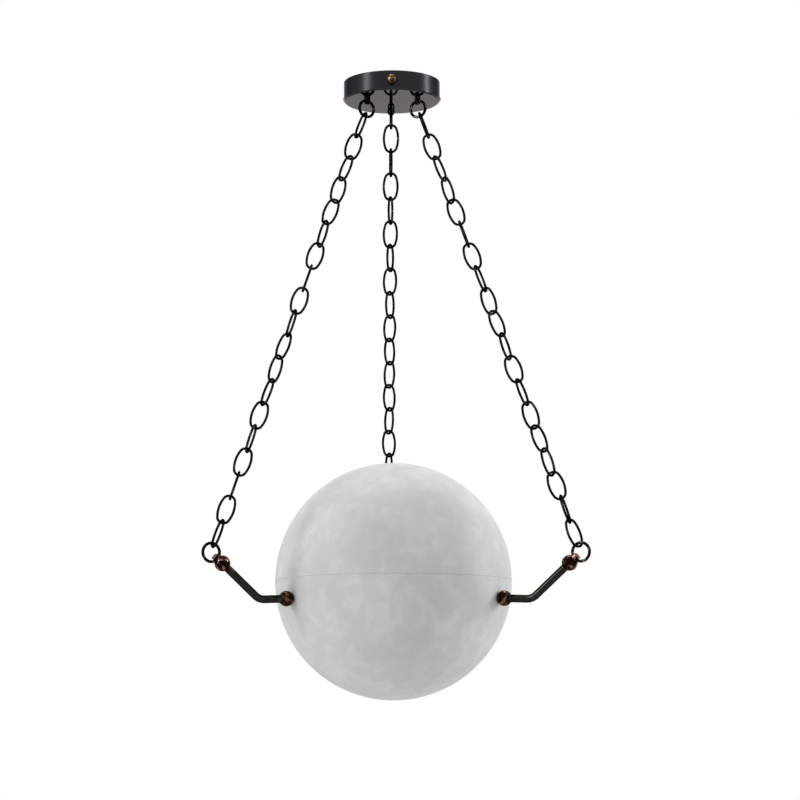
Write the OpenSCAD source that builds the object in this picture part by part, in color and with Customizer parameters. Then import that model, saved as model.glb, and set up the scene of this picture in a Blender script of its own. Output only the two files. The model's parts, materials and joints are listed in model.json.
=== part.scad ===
// Globe pendant light: a round ceiling canopy, three oval-link chains and an
// alabaster globe carried by three cranked arms with ball ends.
// The origin is the centre of the canopy's ceiling face, +Z up, and the light hangs down.

/* [Canopy] */
// Outside diameter of the canopy cup
canopy_d = 125; // [110:1:160]
// Height of the canopy cup
canopy_h = 25; // [22:0.5:40]
// Sheet thickness of the canopy cup
canopy_wall = 1.5; // [1:0.1:2.5]
// Outside radius of the cup's lower edge
canopy_edge = 2.5; // [1.5:0.1:4]
// Diameter of the cord hole in the cup's floor
cord_hole_d = 8; // [6:0.5:10]
// Distance of the cord hole from the canopy's centre
cord_hole_r = 50; // [49:0.5:51]

/* [Ceiling bracket] */
// Sheet thickness of the ceiling bracket
bracket_t = 2; // [1.5:0.1:3]
// Diameter of the bracket's round plate
bracket_d = 92; // [88:1:94]
// Distance between the two ceiling screw slots
slot_spacing = 70; // [60:1:76]
// Length of a ceiling screw slot
slot_l = 14; // [8:1:16]
// Width of a ceiling screw slot
slot_w = 5; // [4:0.5:6]
// Diameter of the wire hole in the bracket
wire_hole_d = 22; // [15:1:26]
// Width of the three bent tabs that take the side screws
tab_w = 16; // [10:1:24]

/* [Side screws] */
// Diameter of a side screw's ball head
knob_d = 12; // [8:0.5:14]
// Distance of the ball's centre outside the canopy wall
knob_out = 4.8; // [3:0.1:6]
// Diameter of a side screw's thread
side_screw_d = 4; // [3:0.5:5]
// Turn of the side screws out of the middle between the chain eyes, in degrees
side_turn = -1.8; // [-8:0.2:8]

/* [Chain eyes] */
// Distance of a chain eye from the canopy's centre
eye_r = 37.5; // [34:0.5:40]
// Width of an eye's flat tongue
tongue_w = 9; // [8:0.5:10]
// Thickness of the tongue along its hole
tongue_t = 4; // [3.5:0.5:5]
// Depth of the hole's centre below the canopy
eye_drop = 4; // [3.8:0.1:6]
// Diameter of the eye's threaded shank
shank_d = 5; // [4:0.5:6]
// Width across flats of the eye's nut
nut_af = 9; // [8:0.5:12]
// Thickness of the eye's nut
nut_h = 4; // [3:0.5:6]

/* [Rings] */
// Outside diameter of a canopy ring
canopy_ring_d = 25; // [22:0.5:28]
// Wire diameter of a canopy ring
canopy_ring_wire = 3.8; // [2.8:0.1:4]
// Lean of a canopy ring towards its chain, in degrees
ring_lean = 5; // [0:0.5:10]
// Outside diameter of an arm ring
arm_ring_d = 26.5; // [24:0.5:30]
// Wire diameter of an arm ring
arm_ring_wire = 3.8; // [2.8:0.1:4]

/* [Chains] */
// Number of links in a chain
link_count = 19; // [12:1:25]
// Wire diameter of a link
link_wire = 3.3; // [2.5:0.1:3.5]
// Inside length of a link
link_in_l = 32.3; // [30:0.1:36]
// Outside width of a link
link_out_w = 22; // [21:0.5:25]
// Radius of the wire's centre line round a link's end
link_end_r = 7.6; // [7:0.1:8.5]
// How much thinner the wire is along a link's sides than round its ends
side_draw = 0.1; // [0.06:0.02:0.3]
// Gap at the open seam in a link's side
seam_gap = 0.5; // [0.4:0.1:1.5]
// Play between neighbouring wires in the chain
link_play = 0.4; // [0.2:0.05:0.5]
// Play between a chain's last link and its arm ring
open_play = 0.6; // [0.5:0.05:0.9]

/* [Arms] */
// Diameter of an arm rod
rod_d = 9.8; // [8:0.1:11]
// Diameter of the ball at an arm's outer end
end_ball_d = 19.7; // [18:0.1:22]
// Distance of the outer ball from the light's axis
end_ball_r = 244.6; // [235:0.5:255]
// Height of the outer ball above the globe's seam
end_ball_z = 14.3; // [8:0.5:20]
// Distance of the arm's knee from the light's axis
knee_r = 193.5; // [190:0.5:200]
// Height of the arm's knee above the globe's seam
knee_z = -28.2; // [-34:0.5:-24]
// Bending radius of the knee, to the rod's centre line
knee_bend = 18; // [12:0.5:22]
// How much thinner the rod is round the knee, where bending draws it
knee_draw = 0.1; // [0.06:0.02:0.3]
// Diameter of the ball that bears on the globe
seat_ball_d = 19.5; // [18:0.5:21]
// Distance of the seat ball from the light's axis, beyond the globe's own radius there
seat_ball_out = 7.9; // [7.2:0.1:9]
// Height of the seat ball above the globe's seam
seat_ball_z = -26.2; // [-30:0.1:-23]
// Diameter of the lug on the outer ball
lug_d = 10.5; // [9.5:0.5:12]
// Thickness of the lug along its hole
lug_t = 7; // [6:0.5:8]
// Distance of the lug's hole from the outer ball's centre
lug_hole_out = 8.9; // [8.5:0.1:10]
// Wall left outside the lug's hole
lug_wall = 1.9; // [1.5:0.1:3]
// Bore of the hollow back arm, for its wire
wire_bore_d = 4.5; // [3:0.5:5]

/* [Globe] */
// Outside diameter of the globe
globe_d = 300; // [290:1:310]
// Wall thickness of the globe's two halves
globe_wall = 8; // [7:0.5:10]
// Thickness of the gasket in the seam
gasket_t = 0.8; // [0.6:0.1:1.6]
// Height of the locating lip on the bowl's rim
lip_h = 4; // [3:0.5:6]
// Thickness of the locating lip
lip_t = 2.2; // [2:0.1:2.8]

/* [Lamp frame] */
// Diameter of the studs through the bowl
stud_d = 6; // [5:0.5:7]
// Diameter of the washers on the bowl
washer_d = 18; // [14:0.5:18]
// Thickness of the rubber washers on the bowl
washer_t = 1.2; // [0.8:0.1:1.5]
// Thickness of the frame's steel
frame_t = 3; // [2:0.5:4]
// Width of the frame's three spokes
spoke_w = 16; // [12:1:20]
// How much narrower the bent tab is than its spoke, on each side
tab_step = 1; // [0.5:0.5:3]
// Diameter of the frame's hub
hub_d = 100; // [96:1:110]
// Distance from the light's axis to each lampholder
holder_r = 31; // [30:0.5:34]
// Outside diameter of a lampholder
holder_d = 26; // [24:0.5:28]
// Height of a lampholder
holder_h = 40; // [36:1:46]
// Diameter of a lamp's screw cap
cap_d = 14; // [13:0.5:16]
// Length of a lamp's screw cap
cap_h = 22; // [18:1:26]
// Diameter of a lamp's glass
lamp_d = 45; // [38:1:46]

/* [Clearances] */
// Running clearance between curved faces that move on each other
run_c = 0.3; // [0.25:0.05:0.5]
// Radial clearance of a plug, shank or rod in its hole
fit_c = 0.1; // [0.05:0.05:0.2]
// Radial clearance of a ring's wire in its eye
ring_c = 0.75; // [0.65:0.05:0.9]

/* [Hidden] */
$fn = 64;

// Length by which a cut passes beyond what it cuts
over = 1;
// Length by which a bend of thinner wire runs into the thicker wire beside it
root_l = 0.3;
// Distance of the earth screw from the axis
earth_y = 30;
// Where a rod or stud stops in its ball, measured from the ball's centre
rod_end = -1;
grommet_d = 12;

// Directions of the three arms, and of the side screws between them
back = 90;
left = 210;
right = 330;
ARMS = [back, left, right];
SIDES = [back + 180, left + 180, right + 180];

// Turn of each link about its chain, in degrees from the chain's own radial plane
function back_turn(i) = 270 + 94.5 * min(i, 14) + 75 * max(i - 14, 0);
turn_left = [85, -20, -80, 5, -55, 40, -25, 65, -25, 50, -70, 20, -90, -25, 50, -25, 65, -25, 265];
turn_right = [105, 25, 85, 150, 210, 107, 25, 94, 172, 60, 136, 25, 89, 0, 60, 148, 25, 122, 62];
function link_turn(arm, i) =
    arm == left ? turn_left[i % len(turn_left)]
    : arm == right ? turn_right[i % len(turn_right)]
    : back_turn(i);

// Canopy
canopy_r = canopy_d / 2;
cup_in_r = canopy_r - canopy_wall;
side_z = -canopy_h / 2;
tab_r = sqrt(cup_in_r * cup_in_r - tab_w * tab_w / 4) - run_c;

// Canopy ring: it hangs in its eye's hole, in the eye's radial plane
canopy_ring_r = (canopy_ring_d - canopy_ring_wire) / 2;
eye_hole_z = -canopy_h - eye_drop;
canopy_ring_bow = canopy_ring_r - sqrt(canopy_ring_r * canopy_ring_r - tongue_t * tongue_t / 4);
eye_hole_d = canopy_ring_wire + canopy_ring_bow + 2 * ring_c;
eye_ring_z = eye_hole_z + canopy_ring_bow / 2;
ring_x = eye_r + canopy_ring_r * sin(ring_lean);
ring_z = eye_ring_z - canopy_ring_r * cos(ring_lean);

// Chain: from the canopy ring's centre to the arm ring's centre on one straight line
arm_ring_r = (arm_ring_d - arm_ring_wire) / 2;
link_pitch = link_in_l - link_play;
top_hook = (canopy_ring_wire + link_wire) / 2 + link_play;
end_hook = (arm_ring_wire + link_wire) / 2 + open_play;
links_l = (link_count - 1) * link_pitch + link_in_l + link_wire;
chain_l = canopy_ring_r - top_hook + links_l - end_hook + arm_ring_r;

// Arm ring: it passes through the lug, beyond the end ball and in line with the arm
arm_slope = atan2(end_ball_z - knee_z, end_ball_r - knee_r);
arm_ring_bow = arm_ring_r - sqrt(arm_ring_r * arm_ring_r - lug_t * lug_t / 4);
lug_hole_d = arm_ring_wire + arm_ring_bow + 2 * ring_c;
lug_wire_out = lug_hole_out - arm_ring_bow / 2;
arm_ring_out = lug_wire_out + arm_ring_r;
arm_ring_x = end_ball_r + arm_ring_out * cos(arm_slope);
arm_ring_h = end_ball_z + arm_ring_out * sin(arm_slope);

// The chain's length sets how far the globe hangs down
chain_flare = asin((arm_ring_x - ring_x) / chain_l);
seam_z = ring_z - chain_l * cos(chain_flare) - arm_ring_h;

// Globe and its fixings
globe_r = globe_d / 2;
globe_in_r = globe_r - globe_wall;
seat_ball_r = sqrt(globe_r * globe_r - seat_ball_z * seat_ball_z) + seat_ball_out;
stud_tilt = atan2(seat_ball_z, seat_ball_r);
seat_ball_c = norm([seat_ball_r, seat_ball_z]);
seat_out = globe_r + washer_t + fit_c;
knee_slope = atan2(knee_z - seat_ball_z, knee_r - seat_ball_r);
lip_r = globe_in_r + lip_t;

// Frame inside the globe: its tabs lie flat across the studs
washer_out = sqrt(globe_in_r * globe_in_r - washer_d * washer_d / 4) - fit_c;
tab_out = washer_out - washer_t;
tab_drop = washer_d / 2 + 3;
hub_top = (tab_out - frame_t) * sin(stud_tilt) - tab_drop * cos(stud_tilt);
stud_nut_h = 5;
stud_nut_af = 10;

module at_arm(arm) {
    rotate([0, 0, arm]) children();
}

module below_seam(arm) {
    translate([0, 0, seam_z]) at_arm(arm) children();
}

// Moves to a point in the arm's radial plane, with +X along the slope
module in_plane(x, z, slope = 0) {
    translate([x, 0, z]) rotate([0, -slope, 0]) children();
}

module rod_x(d, from, to) {
    translate([from, 0, 0]) rotate([0, 90, 0]) cylinder(d = d, h = to - from);
}

module tube_z(d, bore, h) {
    difference() {
        cylinder(d = d, h = h);
        translate([0, 0, -over]) cylinder(d = bore, h = h + 2 * over);
    }
}

module arc_wire(r, wire, from, sweep) {
    rotate([0, 0, from]) rotate_extrude(angle = sweep) translate([r, 0]) circle(d = wire);
}

function arc_angle(l, r) = l / r * 180 / PI;

module hexagon(af, h) {
    cylinder(d = af / cos(30), h = h, $fn = 6);
}

// Ceiling bracket: a round plate with slots and three bent tabs
module ceiling_bracket() {
    color("silver") difference() {
        union() {
            translate([0, 0, -bracket_t]) cylinder(d = bracket_d, h = bracket_t);
            for (a = SIDES) at_arm(a + side_turn) {
                translate([bracket_d / 2 - tab_w / 2, -tab_w / 2, -bracket_t])
                    cube([tab_r - bracket_d / 2 + tab_w / 2, tab_w, bracket_t]);
                translate([tab_r - bracket_t, -tab_w / 2, side_z - tab_w / 2 + 2])
                    cube([bracket_t, tab_w, tab_w / 2 - 2 - side_z]);
            }
        }
        translate([0, 0, -bracket_t - over]) {
            cylinder(d = wire_hole_d, h = bracket_t + 2 * over);
            for (s = [-1, 1]) translate([s * slot_spacing / 2, 0, 0]) slot();
        }
        for (a = SIDES) at_arm(a + side_turn) translate([0, 0, side_z])
            rod_x(side_screw_d + 2 * fit_c, tab_r - bracket_t - over, tab_r + over);
        translate([0, -earth_y, -bracket_t - over])
            cylinder(d = side_screw_d + 2 * fit_c, h = bracket_t + 2 * over);
    }
}

module slot() {
    travel = (slot_l - slot_w) / 2;
    for (s = [-1, 1]) translate([s * travel, 0, 0]) cylinder(d = slot_w, h = bracket_t + 2 * over);
    translate([-travel, -slot_w / 2, 0]) cube([2 * travel, slot_w, bracket_t + 2 * over]);
}

// Canopy cup: one spun shell, open at the ceiling
module cup_profile(r, h, edge) {
    translate([0, -h]) square([r - edge, h]);
    translate([0, -h + edge]) square([r, h - edge]);
    translate([r - edge, -h + edge]) circle(r = edge);
}

module canopy_cup() {
    color("dimgray") difference() {
        rotate_extrude() difference() {
            cup_profile(canopy_r, canopy_h, canopy_edge);
            translate([0, over]) cup_profile(cup_in_r, canopy_h - canopy_wall + over, canopy_edge - canopy_wall + 0.5);
            translate([-canopy_d, -2 * canopy_d]) square([canopy_d, 3 * canopy_d]);
        }
        for (a = SIDES) at_arm(a + side_turn) translate([0, 0, side_z])
            rod_x(side_screw_d + 2 * fit_c, cup_in_r - 5, canopy_r + 5);
        for (a = ARMS) at_arm(a) translate([eye_r, 0, -canopy_h - over])
            cylinder(d = shank_d + 2 * fit_c, h = canopy_wall + 2 * over);
        at_arm(back) translate([cord_hole_r, 0, -canopy_h - over])
            cylinder(d = cord_hole_d, h = canopy_wall + 2 * over);
    }
}

// Side screws: ball heads outside the wall, threads through the bracket's tabs
module side_screws() {
    neck_d = side_screw_d + 2;
    color("peru") for (a = SIDES) at_arm(a + side_turn) translate([0, 0, side_z]) {
        difference() {
            translate([canopy_r + knob_out, 0, 0]) sphere(d = knob_d);
            translate([canopy_r - knob_d, -knob_d, -knob_d]) cube([knob_d + 0.6, 2 * knob_d, 2 * knob_d]);
        }
        rod_x(neck_d, canopy_r + fit_c, canopy_r + 1);
        rod_x(side_screw_d, tab_r - bracket_t - 3, canopy_r + 1);
    }
}

// Bushing in the cord hole, with a flange on either side of the floor
module cord_bushing() {
    lip = 1;
    bore = cord_hole_d - 3;
    color("#222222") at_arm(back) translate([cord_hole_r, 0, -canopy_h]) difference() {
        union() {
            translate([0, 0, -lip]) cylinder(d = cord_hole_d + 2, h = lip);
            translate([0, 0, -lip]) cylinder(d = cord_hole_d - 2 * fit_c, h = canopy_wall + 2 * lip);
            translate([0, 0, canopy_wall]) cylinder(d = cord_hole_d + 2, h = lip);
        }
        translate([0, 0, -2]) cylinder(d = bore, h = canopy_wall + 6);
    }
}

// Terminal block under the bracket, with three wire ports
module terminal_block() {
    block = [30, 16, 12];
    port_d = 4;
    color("ivory") translate([-block[0] / 2, earth_y / 2, -bracket_t - block[2]]) difference() {
        cube(block);
        for (i = [0:2]) translate([block[0] * (i + 0.5) / 3, 0, block[2] / 2]) {
            translate([0, -over, 0]) rotate([-90, 0, 0]) cylinder(d = port_d, h = block[1] + 2 * over);
            translate([0, block[1] / 2, -block[2]]) cylinder(d = port_d - 0.5, h = block[2]);
        }
    }
}

module earth_screw() {
    color("gold") translate([0, -earth_y, 0]) {
        translate([0, 0, -bracket_t - 3]) cylinder(d = 2 * side_screw_d, h = 3);
        translate([0, 0, -bracket_t - 3]) cylinder(d = side_screw_d, h = bracket_t + 2.6);
    }
}

// Chain eye: a flat tongue with a cross hole and a threaded shank through the floor
module eye(arm) {
    color("#2b2420") at_arm(arm) translate([eye_r, 0, -canopy_h]) difference() {
        union() {
            intersection() {
                union() {
                    translate([-tongue_w, -tongue_w / 2, -eye_drop])
                        cube([2 * tongue_w, tongue_w, eye_drop]);
                    translate([0, 0, -eye_drop]) rod_x(tongue_w, -tongue_w, tongue_w);
                }
                translate([-tongue_t / 2, -tongue_w, -3 * tongue_w])
                    cube([tongue_t, 2 * tongue_w, 3 * tongue_w]);
            }
            cylinder(d = shank_d, h = canopy_wall + nut_h + 2);
        }
        translate([0, 0, -eye_drop]) rod_x(eye_hole_d, -tongue_w, tongue_w);
    }
}

module eye_nuts() {
    color("silver") for (a = ARMS) at_arm(a) translate([eye_r, 0, -canopy_h + canopy_wall]) difference() {
        hexagon(nut_af, nut_h);
        translate([0, 0, -over]) cylinder(d = shank_d + 2 * fit_c, h = nut_h + 2 * over);
    }
}

module canopy_ring(arm) {
    color("#2b2420") at_arm(arm) translate([ring_x, 0, ring_z]) rotate([90, 0, 0])
        rotate_extrude() translate([canopy_ring_r, 0]) circle(d = canopy_ring_wire);
}

// One link: a four-arc oval of round wire, lying in the XY plane along X,
// with its butt seam in the middle of one side
module link() {
    half_l = (link_in_l + link_wire) / 2;
    half_w = (link_out_w - link_wire) / 2;
    end_x = half_l - link_end_r;
    side_r = (end_x * end_x + half_w * half_w - link_end_r * link_end_r) / (2 * (half_w - link_end_r));
    end_a = atan2(side_r - half_w, end_x);
    side_a = 90 - end_a;
    seam_a = arc_angle(seam_gap / 2, side_r);
    root_a = arc_angle(root_l, side_r);
    side_wire = link_wire - side_draw;
    for (s = [0, 180]) rotate([0, 0, s]) translate([end_x, 0, 0])
        arc_wire(link_end_r, link_wire, -end_a, 2 * end_a);
    translate([0, side_r - half_w, 0])
        arc_wire(side_r, side_wire, 270 - side_a - root_a, 2 * (side_a + root_a));
    translate([0, half_w - side_r, 0]) for (from = [end_a - root_a, 90 + seam_a])
        arc_wire(side_r, side_wire, from, side_a + root_a - seam_a);
}

// Links first to last of an arm's chain, counted from the canopy
module chain_links(arm, first, last) {
    start = canopy_ring_r - top_hook + (link_in_l + link_wire) / 2;
    color("#241f1c") at_arm(arm) in_plane(ring_x, ring_z, chain_flare - 90)
        for (i = [first:last]) translate([start + i * link_pitch, 0, 0])
            rotate([90 - link_turn(arm, i), 0, 0]) link();
}

module chain_top_link(arm) { chain_links(arm, 0, 0); }
module chain_mid_links(arm) { chain_links(arm, 1, link_count - 2); }
module chain_end_link(arm) { chain_links(arm, link_count - 1, link_count - 1); }

module arm_ring(arm) {
    color("#1c1816") below_seam(arm) translate([arm_ring_x, 0, arm_ring_h]) rotate([90, 0, 0])
        rotate_extrude() translate([arm_ring_r, 0]) circle(d = arm_ring_wire);
}

// Outer ball with its drilled lug, bored for the rod
module end_ball(arm) {
    lug_end = lug_hole_out + lug_hole_d / 2 + lug_wall;
    color("#4a2f26") below_seam(arm) in_plane(end_ball_r, end_ball_z, arm_slope) difference() {
        union() {
            rotate([0, 0, 90]) sphere(d = end_ball_d);
            intersection() {
                rod_x(lug_d, 0, lug_end);
                translate([0, -lug_d, -lug_t / 2]) cube([2 * lug_end, 2 * lug_d, lug_t]);
            }
        }
        translate([lug_hole_out, 0, -end_ball_d]) cylinder(d = lug_hole_d, h = 2 * end_ball_d);
        rod_x(rod_d + 2 * fit_c, -end_ball_d, rod_end + fit_c);
        if (arm == back) wire_inlet();
    }
}

// Slanted hole by which the wire enters the hollow back arm
module wire_inlet() {
    translate([-end_ball_d * 0.32, 0, 0]) cylinder(d = wire_bore_d, h = end_ball_d);
}

// Arm rod: a level part from the globe, the knee's bend and a rising part
module arm_rod(arm) {
    turn = arm_slope - knee_slope;
    cut = knee_bend * tan(turn / 2);
    low_l = norm([knee_r - seat_ball_r, knee_z - seat_ball_z]);
    high_l = norm([end_ball_r - knee_r, end_ball_z - knee_z]);
    color("#20231f") below_seam(arm) difference() {
        union() {
            in_plane(knee_r, knee_z, knee_slope) rod_x(rod_d, -low_l - rod_end, -cut);
            knee_arc(rod_d - knee_draw, cut, turn);
            in_plane(knee_r, knee_z, arm_slope) rod_x(rod_d, cut, high_l + rod_end);
        }
        if (arm == back) {
            rod_bore(cut, low_l, high_l, turn);
            in_plane(end_ball_r, end_ball_z, arm_slope) wire_inlet();
        }
    }
}

// The knee's bend, run a little way into the straight parts on either side
module knee_arc(d, cut, turn) {
    root_a = arc_angle(root_l, knee_bend);
    in_plane(knee_r, knee_z, knee_slope) translate([-cut, 0, knee_bend]) rotate([90, 0, 0])
        arc_wire(knee_bend, d, 270 - root_a, turn + 2 * root_a);
}

module rod_bore(cut, low_l, high_l, turn) {
    in_plane(knee_r, knee_z, knee_slope) rod_x(wire_bore_d, -low_l - over, -cut);
    knee_arc(wire_bore_d + knee_draw, cut, turn);
    in_plane(knee_r, knee_z, arm_slope) rod_x(wire_bore_d, cut, high_l + over);
}

// Seat ball: bored for the rod, with a tapped hole for the stud and a face that fits the globe
module seat_ball(arm) {
    low_l = norm([knee_r - seat_ball_r, knee_z - seat_ball_z]);
    color("#4a2f26") below_seam(arm) difference() {
        translate([seat_ball_r, 0, seat_ball_z]) rotate([0, -stud_tilt, 0])
            rotate([90, 0, 0]) rotate([0, 90, 0]) sphere(d = seat_ball_d);
        in_plane(knee_r, knee_z, knee_slope) rod_x(rod_d + 2 * fit_c, -low_l - rod_end - fit_c, 0);
        rotate([0, -stud_tilt, 0]) {
            rod_x(stud_d + 2 * fit_c, seat_out - seat_ball_d, seat_ball_c + rod_end + fit_c);
            rod_x(2 * seat_ball_d, seat_out - seat_ball_d, seat_out);
        }
    }
}

module along_studs() {
    for (a = ARMS) below_seam(a) rotate([0, -stud_tilt, 0]) children();
}

// Studs: screwed into the seat balls, through the bowl and the frame's tabs
module arm_studs() {
    stud_bore = 3;
    color("silver") along_studs() difference() {
        rod_x(stud_d, tab_out - frame_t - stud_nut_h - 3, seat_ball_c + rod_end);
        rod_x(stud_bore, 0, globe_d);
    }
}

module stud_nuts() {
    color("silver") along_studs() difference() {
        translate([tab_out - frame_t - stud_nut_h, 0, 0]) rotate([0, 90, 0]) hexagon(stud_nut_af, stud_nut_h);
        rod_x(stud_d + 2 * fit_c, 0, globe_d);
    }
}

// Rubber washers, outside and inside the bowl
module stud_washer(d, from) {
    difference() {
        rod_x(d, from, from + washer_t);
        rod_x(stud_d + 2 * fit_c, from - over, from + washer_t + over);
    }
}

module outer_washers() {
    color("#151515") along_studs() stud_washer(washer_d * 0.7, globe_r + fit_c);
}

module inner_washers() {
    color("#151515") along_studs() stud_washer(washer_d, tab_out);
}

// Lower bowl: half the globe, with the locating lip and the three stud holes
module lower_bowl() {
    rim = -gasket_t / 2;
    color("gainsboro") translate([0, 0, seam_z]) difference() {
        union() {
            intersection() {
                difference() {
                    sphere(r = globe_r);
                    sphere(r = globe_in_r);
                }
                translate([0, 0, rim - globe_d]) cylinder(r = globe_d, h = globe_d);
            }
            translate([0, 0, rim - 3]) tube_z(2 * lip_r, 2 * globe_in_r, 3 + lip_h);
        }
        for (a = ARMS) at_arm(a) rotate([0, -stud_tilt, 0])
            rod_x(stud_d + 2, globe_in_r - 5, globe_r + 5);
    }
}

module rim_gasket() {
    color("#8d8b86") translate([0, 0, seam_z - gasket_t / 2])
        tube_z(globe_d - 1.2, 2 * (lip_r + run_c), gasket_t);
}

// Upper dome: the other half, rebated to drop over the bowl's lip
module upper_dome() {
    rim = gasket_t / 2;
    color("whitesmoke") translate([0, 0, seam_z]) difference() {
        sphere(r = globe_r);
        sphere(r = globe_in_r);
        translate([0, 0, rim - globe_d]) cylinder(r = globe_d, h = globe_d);
        cylinder(r = lip_r + run_c, h = lip_h - rim + run_c);
    }
}

// Lamp frame: hub, three spokes and tabs that carry the load between the arms
module lamp_frame() {
    spoke_end = (tab_out - frame_t / 2) * cos(stud_tilt) + tab_drop * sin(stud_tilt);
    color("silver") translate([0, 0, seam_z]) difference() {
        union() {
            translate([0, 0, hub_top - frame_t]) linear_extrude(frame_t) frame_blank(spoke_end);
            for (a = ARMS) at_arm(a) rotate([0, -stud_tilt, 0])
                translate([tab_out - frame_t, -spoke_w / 2 + tab_step, -tab_drop - frame_t / 2])
                    cube([frame_t, spoke_w - 2 * tab_step, frame_t / 2 + tab_drop + spoke_w / 2]);
        }
        for (a = ARMS) at_arm(a) rotate([0, -stud_tilt, 0])
            rod_x(stud_d + 2 * fit_c, globe_in_r / 2, globe_r);
    }
}

// The frame's flat blank: a round hub with three spokes and its holes
module frame_blank(spoke_end) {
    difference() {
        union() {
            circle(d = hub_d);
            for (a = ARMS) rotate(a) translate([0, -spoke_w / 2]) square([spoke_end, spoke_w]);
        }
        for (a = SIDES) rotate(a) translate([holder_r, 0]) circle(d = holder_d / 2);
        circle(d = grommet_d);
    }
}

// Grommet in the hub's centre, where the wires fan out to the lampholders
module wire_grommet() {
    color("#151515") translate([0, 0, seam_z + hub_top - frame_t]) difference() {
        union() {
            translate([0, 0, -1.5]) cylinder(d = grommet_d + 4, h = 1.5);
            translate([0, 0, -1.5]) cylinder(d = grommet_d - 2 * fit_c, h = frame_t + 3);
            translate([0, 0, frame_t]) cylinder(d = grommet_d + 4, h = 1.5);
        }
        translate([0, 0, -2]) cylinder(d = grommet_d - 4, h = frame_t + 6);
    }
}

module at_holder(i) {
    rotate([0, 0, SIDES[i]]) translate([holder_r, 0, seam_z + hub_top]) children();
}

// Lampholder: a cup with a stepped skirt and a hollow spigot through the frame's hub
module lampholder(i) {
    well = cap_h - 1;
    color("ivory") at_holder(i) difference() {
        union() {
            cylinder(d = holder_d, h = holder_h * 0.6);
            cylinder(d = holder_d - 3, h = holder_h);
            translate([0, 0, holder_h - 4]) cylinder(d = holder_d, h = 3);
            translate([0, 0, -frame_t - 2]) cylinder(d = holder_d / 2 - 2 * fit_c, h = frame_t + 3);
        }
        translate([0, 0, holder_h - well]) cylinder(d = cap_d + 2 * fit_c, h = well + over);
        translate([0, 0, -frame_t - 3]) cylinder(d = 5, h = frame_t + 3 + holder_h - well - 4);
    }
}

// Lamp cap: the screwed shell, with its insulator and centre contact
module lamp_cap(i) {
    seat = holder_h - cap_h + 1;
    color("silver") at_holder(i) translate([0, 0, seat]) {
        cylinder(d = 5, h = 2);
        translate([0, 0, 1]) cylinder(d1 = 8, d2 = cap_d, h = 3);
        translate([0, 0, 3.5]) cylinder(d = cap_d, h = cap_h - 3.5);
    }
}

// Lamp glass: a small opal globe on a tapered neck
module lamp_glass(i) {
    neck = lamp_d * 0.3;
    color("white") at_holder(i) translate([0, 0, holder_h + 1]) {
        difference() {
            union() {
                cylinder(d1 = cap_d + 1, d2 = lamp_d * 0.62, h = neck);
                translate([0, 0, neck + lamp_d * 0.36]) sphere(d = lamp_d);
            }
            translate([0, 0, neck + lamp_d * 0.36]) sphere(d = lamp_d - 2);
        }
    }
}

ceiling_bracket();
canopy_cup();
side_screws();
cord_bushing();
terminal_block();
earth_screw();
eye(back);  // eye_back
eye(left);  // eye_left
eye(right);  // eye_right
eye_nuts();
canopy_ring(back);  // canopy_ring_back
canopy_ring(left);  // canopy_ring_left
canopy_ring(right);  // canopy_ring_right
chain_top_link(back);  // chain_back_top_link
chain_mid_links(back);  // chain_back_links
chain_end_link(back);  // chain_back_end_link
chain_top_link(left);  // chain_left_top_link
chain_mid_links(left);  // chain_left_links
chain_end_link(left);  // chain_left_end_link
chain_top_link(right);  // chain_right_top_link
chain_mid_links(right);  // chain_right_links
chain_end_link(right);  // chain_right_end_link
arm_ring(back);  // arm_ring_back
arm_ring(left);  // arm_ring_left
arm_ring(right);  // arm_ring_right
end_ball(back);  // end_ball_back
end_ball(left);  // end_ball_left
end_ball(right);  // end_ball_right
arm_rod(back);  // arm_rod_back
arm_rod(left);  // arm_rod_left
arm_rod(right);  // arm_rod_right
seat_ball(back);  // seat_ball_back
seat_ball(left);  // seat_ball_left
seat_ball(right);  // seat_ball_right
arm_studs();
outer_washers();
inner_washers();
stud_nuts();
lower_bowl();
rim_gasket();
upper_dome();
lamp_frame();
wire_grommet();
lampholder(0);  // lampholder_1
lampholder(1);  // lampholder_2
lampholder(2);  // lampholder_3
lamp_cap(0);  // lamp_cap_1
lamp_cap(1);  // lamp_cap_2
lamp_cap(2);  // lamp_cap_3
lamp_glass(0);  // lamp_glass_1
lamp_glass(1);  // lamp_glass_2
lamp_glass(2);  // lamp_glass_3
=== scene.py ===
"""Looks of the globe pendant light, in metres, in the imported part's frame."""

import json
import math

import bpy
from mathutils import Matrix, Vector

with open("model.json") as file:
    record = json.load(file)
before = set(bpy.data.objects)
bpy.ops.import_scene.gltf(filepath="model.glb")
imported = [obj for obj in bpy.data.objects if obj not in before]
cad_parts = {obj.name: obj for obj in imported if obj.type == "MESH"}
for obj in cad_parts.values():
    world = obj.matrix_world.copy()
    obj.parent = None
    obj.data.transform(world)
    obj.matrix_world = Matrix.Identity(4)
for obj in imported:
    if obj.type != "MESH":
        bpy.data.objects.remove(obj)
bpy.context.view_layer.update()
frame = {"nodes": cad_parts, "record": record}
NODES = frame["nodes"]

# Sockets of a Mix node that mixes colours
MIX_A, MIX_B, MIX_OUT = 6, 7, 2

# Nearly all of a noise texture's values lie between these two
NOISE_LOW, NOISE_HIGH = 0.3, 0.7

# A micrometre in metres
MICRON = 1e-6


def colour(code):
    """A colour written as sRGB hex, as the linear colour that a shader takes."""
    parts = [int(code[i:i + 2], 16) / 255 for i in (1, 3, 5)]
    linear = [p / 12.92 if p <= 0.04045 else ((p + 0.055) / 1.055) ** 2.4 for p in parts]
    return (*linear, 1.0)


def per_mm(size):
    """Texture scale whose pattern repeats about every `size` millimetres."""
    return 1000.0 / size


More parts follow.
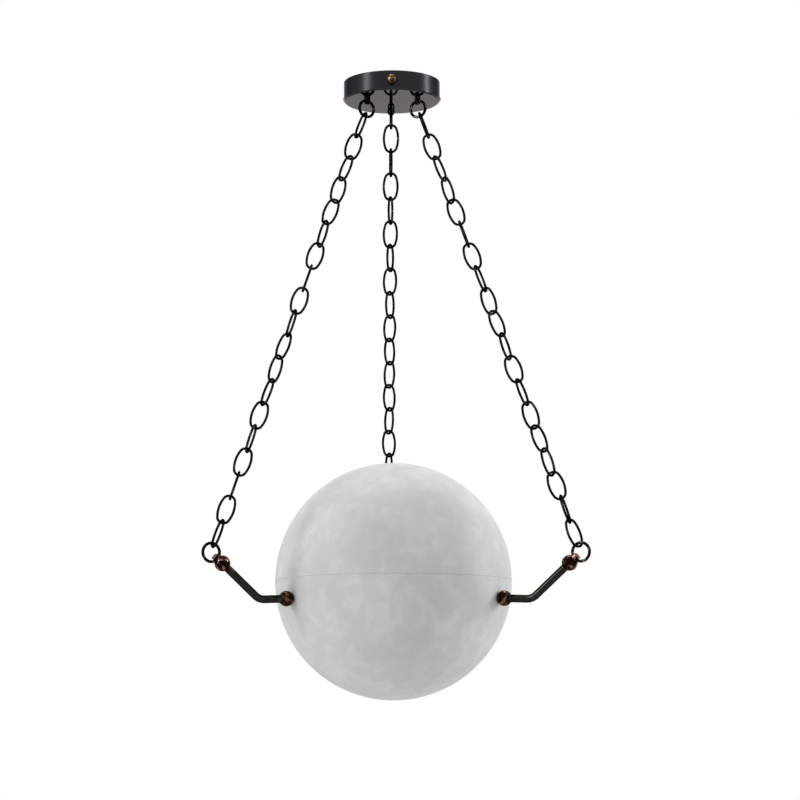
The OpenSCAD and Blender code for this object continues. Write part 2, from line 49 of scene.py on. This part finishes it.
def add(tree, kind, inputs=(), **settings):
    """Adds a shader node, with its settings, its values and its links."""
    made = tree.nodes.new("ShaderNode" + kind)
    for name, value in settings.items():
        setattr(made, name, value)
    for name, value in dict(inputs).items():
        if isinstance(value, bpy.types.NodeSocket):
            tree.links.new(value, made.inputs[name])
        else:
            made.inputs[name].default_value = value
    return made


def new_material(name):
    """An empty material, its tree, its output and the piece's own coordinates."""
    material = bpy.data.materials.new(name)
    material.use_nodes = True
    tree = material.node_tree
    tree.nodes.clear()
    return material, tree, add(tree, "OutputMaterial"), add(tree, "TexCoord").outputs["Object"]


def patchy_finish(name, dark, light, rough, patch_mm, grain_mm, grain_um, metallic=1.0,
                  edge="#ffffff", wear_and_highlight_span=(NOISE_LOW, NOISE_HIGH)):
    """A finish whose colour and polish vary in soft patches under a fine grain.

    `edge` is the tint of what it mirrors at a glancing angle. The last argument is the part of the
    noise
    over which the dark finish turns light: a narrow one gives patches with clear rims. The light
    patches are wear on some finishes and painted highlights on others.
    """
    material, tree, output, place = new_material(name)
    patches = add(tree, "TexNoise", {"Vector": place, "Scale": per_mm(patch_mm), "Detail": 4.0})
    grain = add(tree, "TexNoise", {"Vector": place, "Scale": per_mm(grain_mm), "Detail": 3.0})
    # Where the noise is high the colour turns light: wear on some finishes, painted highlights on
    # others
    wear_and_highlight = add(tree, "MapRange", {"Value": patches.outputs["Fac"], "From Min": wear_and_highlight_span[0],
                                  "From Max": wear_and_highlight_span[1]})
    tint = add(tree, "Mix", {0: wear_and_highlight.outputs["Result"], MIX_A: colour(dark), MIX_B: colour(light)},
               data_type="RGBA")
    polish = add(tree, "MapRange", {"Value": patches.outputs["Fac"], "From Min": NOISE_LOW,
                                    "From Max": NOISE_HIGH, "To Min": rough[0], "To Max": rough[1]})
    bump = add(tree, "Bump", {"Height": grain.outputs["Fac"], "Strength": 1.0,
                              "Distance": grain_um * MICRON})
    surface = add(tree, "BsdfPrincipled", {
        "Base Color": tint.outputs[MIX_OUT], "Roughness": polish.outputs["Result"],
        "Metallic": metallic, "Specular Tint": colour(edge), "Normal": bump.outputs["Normal"]})
    tree.links.new(surface.outputs[0], output.inputs["Surface"])
    return material


def moulded(name, dark, light, rough, grain_mm, grain_um):
    """A moulded, fired or blown material: almost even colour with a fine surface grain."""
    grains_in_patch = 6
    return patchy_finish(name, dark, light, rough, grains_in_patch * grain_mm, grain_mm, grain_um,
                         metallic=0.0)


def lacquered_cup():
    """Gunmetal lacquer on spun steel: satin round the wall, polished over the floor.

    The wall spreads a lamp into a wide soft band, and the floor mirrors the rings below it. The
    floor's colour is also painted lighter than the wall's, as painted reflection.
    """
    # Heights between which the polished floor turns into the satin wall
    floor_edge_z, wall_edge_z = -0.0236, -0.0226
    floor_rough, wall_rough = 0.05, 0.27
    cloud_mm, orange_peel_mm, orange_peel_um = 25, 4, 0.5
    material, tree, output, place = new_material("gunmetal_lacquered_steel")
    height = add(tree, "SeparateXYZ", {"Vector": place})
    on_wall = add(tree, "MapRange", {"Value": height.outputs["Z"], "From Min": floor_edge_z,
                                     "From Max": wall_edge_z})
    polish = add(tree, "MapRange", {"Value": on_wall.outputs["Result"], "To Min": floor_rough,
                                    "To Max": wall_rough})
    cloud = add(tree, "TexNoise", {"Vector": place, "Scale": per_mm(cloud_mm), "Detail": 3.0})
    # Floor colour: its faint clouds are the lacquer's own, and it is painted lighter than the wall's
    # as painted reflection
    floor_mottle_painted_lighter = add(tree, "Mix", {0: cloud.outputs["Fac"], MIX_A: colour("#302b30"),
                               MIX_B: colour("#3b3439")}, data_type="RGBA")
    tint = add(tree, "Mix", {0: on_wall.outputs["Result"], MIX_A: floor_mottle_painted_lighter.outputs[MIX_OUT],
                             MIX_B: colour("#2b292d")}, data_type="RGBA")
    edge = add(tree, "Mix", {0: on_wall.outputs["Result"], MIX_A: colour("#dcd8da"),
                             MIX_B: colour("#b8b6b8")}, data_type="RGBA")
    orange_peel = add(tree, "TexNoise", {"Vector": place, "Scale": per_mm(orange_peel_mm),
                                         "Detail": 1.0})
    bump = add(tree, "Bump", {"Height": orange_peel.outputs["Fac"],
                              "Distance": orange_peel_um * MICRON})
    surface = add(tree, "BsdfPrincipled", {
        "Base Color": tint.outputs[MIX_OUT], "Metallic": 1.0, "Roughness": polish.outputs["Result"],
        "Specular Tint": edge.outputs[MIX_OUT], "Normal": bump.outputs["Normal"]})
    tree.links.new(surface.outputs[0], output.inputs["Surface"])
    return material


def alabaster():
    """Honed alabaster: pale cool stone with soft cloudy patches and a silky sheen.

    Broad faint clouds lie in the body, and paler wisps are strongest where it is cloudy.
    """
    cloud_mm, wisp_mm = 60, 21
    # Parts of each noise over which clouds and wisps come in
    cloud_low, wisp_low, full = 0.4, 0.46, 0.68
    wisp_outside_clouds = 0.4
    material, tree, output, place = new_material("honed_alabaster")
    cloud = add(tree, "TexNoise", {"Vector": place, "Scale": per_mm(cloud_mm), "Detail": 2.0,
                                   "Roughness": 0.45, "Distortion": 0.6})
    cloudy = add(tree, "MapRange", {"Value": cloud.outputs["Fac"], "From Min": cloud_low,
                                    "From Max": full})
    wisp = add(tree, "TexNoise", {"Vector": place, "Scale": per_mm(wisp_mm), "Detail": 3.0,
                                  "Roughness": 0.5, "Distortion": 0.6})
    wispy = add(tree, "MapRange", {"Value": wisp.outputs["Fac"], "From Min": wisp_low,
                                   "From Max": full})
    body = add(tree, "Mix", {0: cloudy.outputs["Result"], MIX_A: colour("#c5c5c5"),
                             MIX_B: colour("#cbccce")}, data_type="RGBA")
    spread = add(tree, "MapRange", {"Value": cloudy.outputs["Result"],
                                    "To Min": wisp_outside_clouds})
    veined = add(tree, "Math", {0: wispy.outputs["Result"], 1: spread.outputs["Result"]},
                 operation="MULTIPLY")
    tint = add(tree, "Mix", {0: veined.outputs[0], MIX_A: body.outputs[MIX_OUT],
                             MIX_B: colour("#d4d4d9")}, data_type="RGBA")
    surface = add(tree, "BsdfPrincipled", {
        "Base Color": tint.outputs[MIX_OUT], "Roughness": 0.6, "IOR": 1.52,
        "Specular IOR Level": 0.35, "Subsurface Weight": 0.25, "Subsurface Scale": 0.006})
    tree.links.new(surface.outputs[0], output.inputs["Surface"])
    return material


# Finishes of the metal pieces. Their real grain and rub marks are too fine to show in the render,
# so grain_mm and patch_mm are as coarse as they need to be to show. On the balls, rings and screws
# the pale patches are painted highlights, not rub marks.

# Blackened bronze wire of the chains: near black and satin, with faint brown patches
chain_bronze = patchy_finish("blackened_bronze", "#0f0e0c", "#37302a", rough=(0.3, 0.4), patch_mm=8,
                             grain_mm=4, grain_um=1, edge="#8e8a88", wear_and_highlight_span=(0.5, 0.68))

# Blackened bronze of the eyes and rings: a little glossier, with small pale spots that are painted
# highlights
ring_bronze = patchy_finish("blackened_ring_bronze", "#0e0d0b", "#6e625b", rough=(0.2, 0.3),
                            patch_mm=4.5, grain_mm=4, grain_um=1, edge="#8e8a88",
                            wear_and_highlight_span=(0.55, 0.66))

# Oil-rubbed bronze of the outer balls: polished and dark red-brown, with pale coppery spots that are
# painted highlights
end_bronze = patchy_finish("oil_rubbed_bronze_painted_highlights", "#170d0b", "#86675f", rough=(0.04, 0.1),
                           patch_mm=5.2, grain_mm=4, grain_um=1, edge="#f0d4cc",
                           wear_and_highlight_span=(0.53, 0.64))

# Bronze of the inner balls: polished and dark, with yellower brown spots that are painted highlights
seat_bronze = patchy_finish("seat_bronze_painted_highlights", "#1c120d", "#6a5342", rough=(0.05, 0.12),
                            patch_mm=6, grain_mm=4, grain_um=1, edge="#f0dccc",
                            wear_and_highlight_span=(0.5, 0.62))

# Black patina of the arm rods: polished, near black and almost even
rod_bronze = patchy_finish("black_patinated_bronze", "#1a1a18", "#32312d", rough=(0.07, 0.13),
                           patch_mm=9, grain_mm=4, grain_um=1, edge="#949694")

# Aged brass of the canopy's screws: polished and dark brown, with golden spots that are painted
# highlights
brass = patchy_finish("aged_brass", "#30251c", "#86704f", rough=(0.04, 0.08), patch_mm=5,
                      grain_mm=4, grain_um=1, edge="#f0dcc0", wear_and_highlight_span=(0.46, 0.62))

# Zinc plate of the bracket, studs, nuts and lamp frame: mid grey and satin, softly clouded
zinc = patchy_finish("zinc_plated_steel", "#8f9194", "#9fa1a4", rough=(0.35, 0.45), patch_mm=12,
                     grain_mm=0.8, grain_um=3)

# Rolled aluminium of the lamp caps: pale and softly shiny
cap_metal = patchy_finish("rolled_aluminium", "#c4c4c2", "#dadad8", rough=(0.25, 0.35), patch_mm=4,
                          grain_mm=0.6, grain_um=4)

# Finishes of the moulded, fired and blown pieces, with their grain drawn coarser as well

# Moulded rubber of the washers, bushing and grommet: black and matt
rubber = moulded("black_rubber", "#141414", "#1e1e1e", rough=(0.6, 0.75), grain_mm=0.8, grain_um=15)

# Moulded silicone of the gasket: pale grey and dull, painted paler than the stone to offset the
# shade in the seam's groove, so the seam shows as a thin line
gasket = moulded("grey_silicone", "#d4d4d6", "#dcdcde", rough=(0.5, 0.6), grain_mm=1, grain_um=10)

# Moulded polyamide of the terminal block: cream and satin
plastic = moulded("terminal_polyamide", "#dcd8c9", "#e4e0d2", rough=(0.4, 0.5), grain_mm=1,
                  grain_um=10)

# Glazed porcelain of the lampholders: warm white and glossy, with a faintly wavy glaze
porcelain = moulded("glazed_porcelain", "#ebe7db", "#f3efe5", rough=(0.1, 0.16), grain_mm=2,
                    grain_um=4)

# Opal blown glass of the lamps: milky white and glossy
opal = moulded("opal_blown_glass", "#f1f1ee", "#f8f8f5", rough=(0.08, 0.14), grain_mm=3, grain_um=1)

FINISHES = {
    "zinc_plated_steel": zinc, "gunmetal_cup": lacquered_cup(), "brass": brass,
    "black_rubber": rubber, "seam_gasket": gasket, "terminal_plastic": plastic,
    "ring_bronze": ring_bronze, "chain_bronze": chain_bronze, "ball_bronze": end_bronze,
    "rod_black": rod_bronze, "alabaster": alabaster(), "holder_porcelain": porcelain,
    "lamp_cap_metal": cap_metal, "opal_glass": opal,
}
# The inner balls share the outer balls' slot, but get another colour, with painted highlights of
# their own
for part in frame["record"]["subparts"]:
    mesh = NODES[part["node"]].data
    mesh.materials.clear()
    finish = seat_bronze if part["node"].startswith("seat_ball") else FINISHES[part["material_slot"]]
    mesh.materials.append(finish)


def floor_paint():
    """Matt white paint on the floor: almost even, with a faint cloudiness."""
    cloud_mm = 30
    material, tree, output, place = new_material("floor_paint")
    cloud = add(tree, "TexNoise", {"Vector": place, "Scale": per_mm(cloud_mm), "Detail": 3.0})
    tint = add(tree, "Mix", {0: cloud.outputs["Fac"], MIX_A: colour("#f2f2f1"),
                             MIX_B: colour("#f8f8f7")}, data_type="RGBA")
    paint = add(tree, "BsdfPrincipled", {"Base Color": tint.outputs[MIX_OUT], "Roughness": 0.8})
    tree.links.new(paint.outputs[0], output.inputs["Surface"])
    return material


# Floor, far below the light
FLOOR_Z = -1.9
FLOOR_SIZE = 6.0
bpy.ops.mesh.primitive_plane_add(size=FLOOR_SIZE, location=(0, 0, FLOOR_Z))
floor = bpy.context.object
floor.name = "floor"
floor.data.materials.append(floor_paint())


def studio_world():
    """White where the camera, a reflection or clear glass sees it, and softer as light."""
    light_strength, seen_strength = 0.55, 1.0
    world = bpy.data.worlds.new("studio")
    world.use_nodes = True
    tree = world.node_tree
    tree.nodes.clear()
    rays = add(tree, "LightPath")
    seen = add(tree, "Math", {0: rays.outputs["Is Camera Ray"], 1: rays.outputs["Is Glossy Ray"]},
               operation="MAXIMUM")
    seen = add(tree, "Math", {0: seen.outputs[0], 1: rays.outputs["Is Transmission Ray"]},
               operation="MAXIMUM")
    strength = add(tree, "MapRange", {"Value": seen.outputs[0], "To Min": light_strength,
                                      "To Max": seen_strength})
    sky = add(tree, "Background", {"Color": (1, 1, 1, 1), "Strength": strength.outputs["Result"]})
    add(tree, "OutputWorld", {"Surface": sky.outputs[0]})
    return world


bpy.context.scene.world = studio_world()

# Point of the object that the softboxes face
MIDDLE = (0, 0, -0.45)


def softbox(name, place, width, height, watts):
    """A large soft lamp that faces the middle of the object."""
    lamp = bpy.data.lights.new(name, "AREA")
    lamp.shape = "RECTANGLE"
    lamp.size, lamp.size_y, lamp.energy = width, height, watts
    made = bpy.data.objects.new(name, lamp)
    bpy.context.scene.collection.objects.link(made)
    made.location = place
    aim = Vector(MIDDLE) - Vector(place)
    made.rotation_euler = aim.to_track_quat("-Z", "Y").to_euler()


# Two tall softboxes at the sides and a wide one above
softbox("left_softbox", place=(-1.9, -0.95, 0.05), width=0.45, height=1.4, watts=20)
softbox("right_softbox", place=(2.0, 0.0, 0.1), width=0.3, height=1.4, watts=21)
softbox("top_softbox", place=(0, 0.4, 1.4), width=1.2, height=0.8, watts=18)

# Camera at the photograph's place: a long lens from a little below the globe
LENS_MM = 109.94
CAMERA_PLACE = (-0.0894, -3.0991, -0.8505)
CAMERA_TURN = [math.radians(a) for a in (97.9527, 0.2213, -1.7891)]
camera = bpy.data.objects.new("camera", bpy.data.cameras.new("camera"))
camera.data.lens = LENS_MM
camera.location = CAMERA_PLACE
camera.rotation_euler = CAMERA_TURN
bpy.context.scene.collection.objects.link(camera)
bpy.context.scene.camera = camera

bpy.context.scene.view_settings.view_transform = "Standard"
